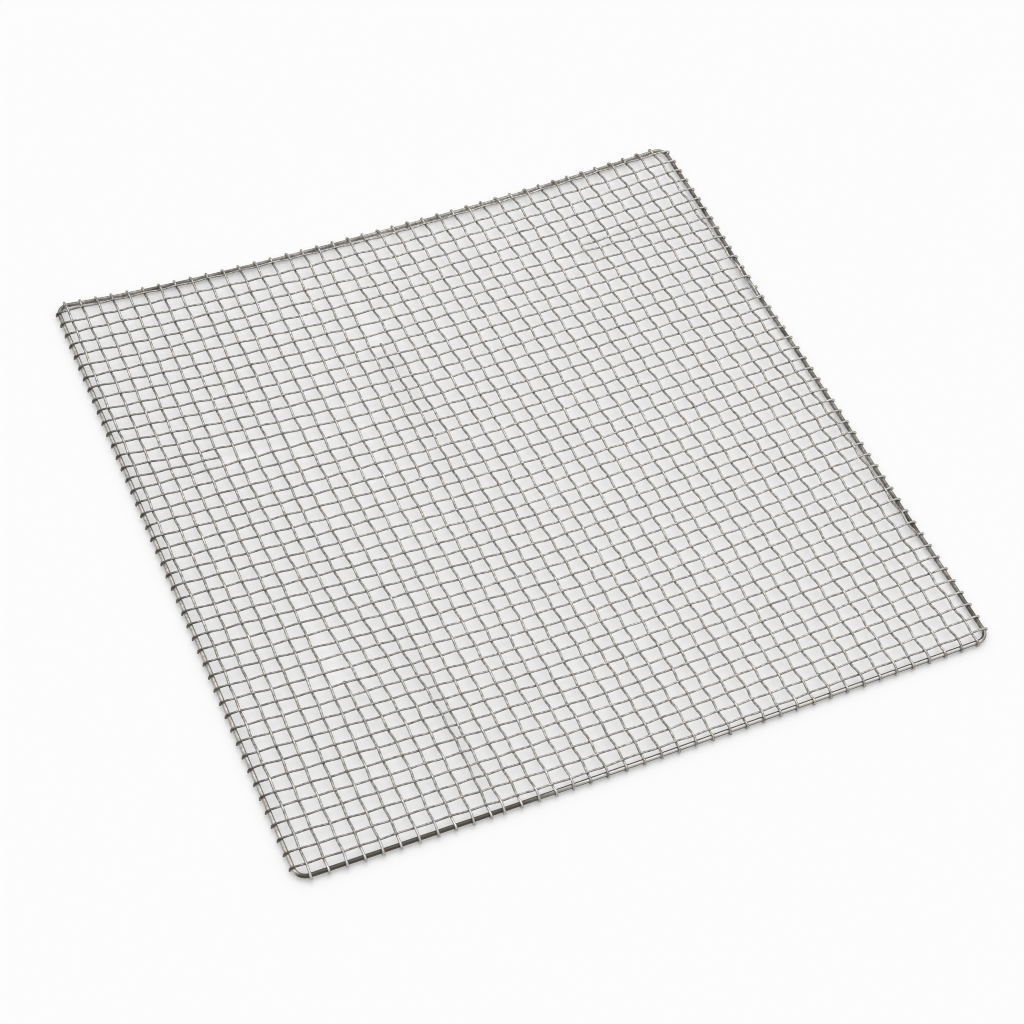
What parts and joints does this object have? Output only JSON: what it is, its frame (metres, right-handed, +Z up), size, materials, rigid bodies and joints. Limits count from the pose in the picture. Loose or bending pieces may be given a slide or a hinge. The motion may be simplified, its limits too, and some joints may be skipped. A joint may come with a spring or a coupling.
{
  "type": "wire gauze",
  "caption": "Square sheet of plain-woven steel wire with its ends wrapped round a bent rim rod, laid over a flame or stand to spread heat.",
  "frame": {"origin": "under the middle of the sheet, on the surface that it lies on", "axes": "+Z up out of the sheet, +X to the right along the near rim, +Y from the near rim to the far one"},
  "size_m": [0.151, 0.151, 0.0025],
  "materials": {
    "rim_steel": "drawn rod, bright with brown-grey handling marks",
    "wire_steel": "dull grey drawn wire"
  },
  "bodies": {
    "root": {"rim_rod": "rim_steel", "warp_wires": "wire_steel", "weft_wires": "wire_steel"}
  },
  "joints": []
}
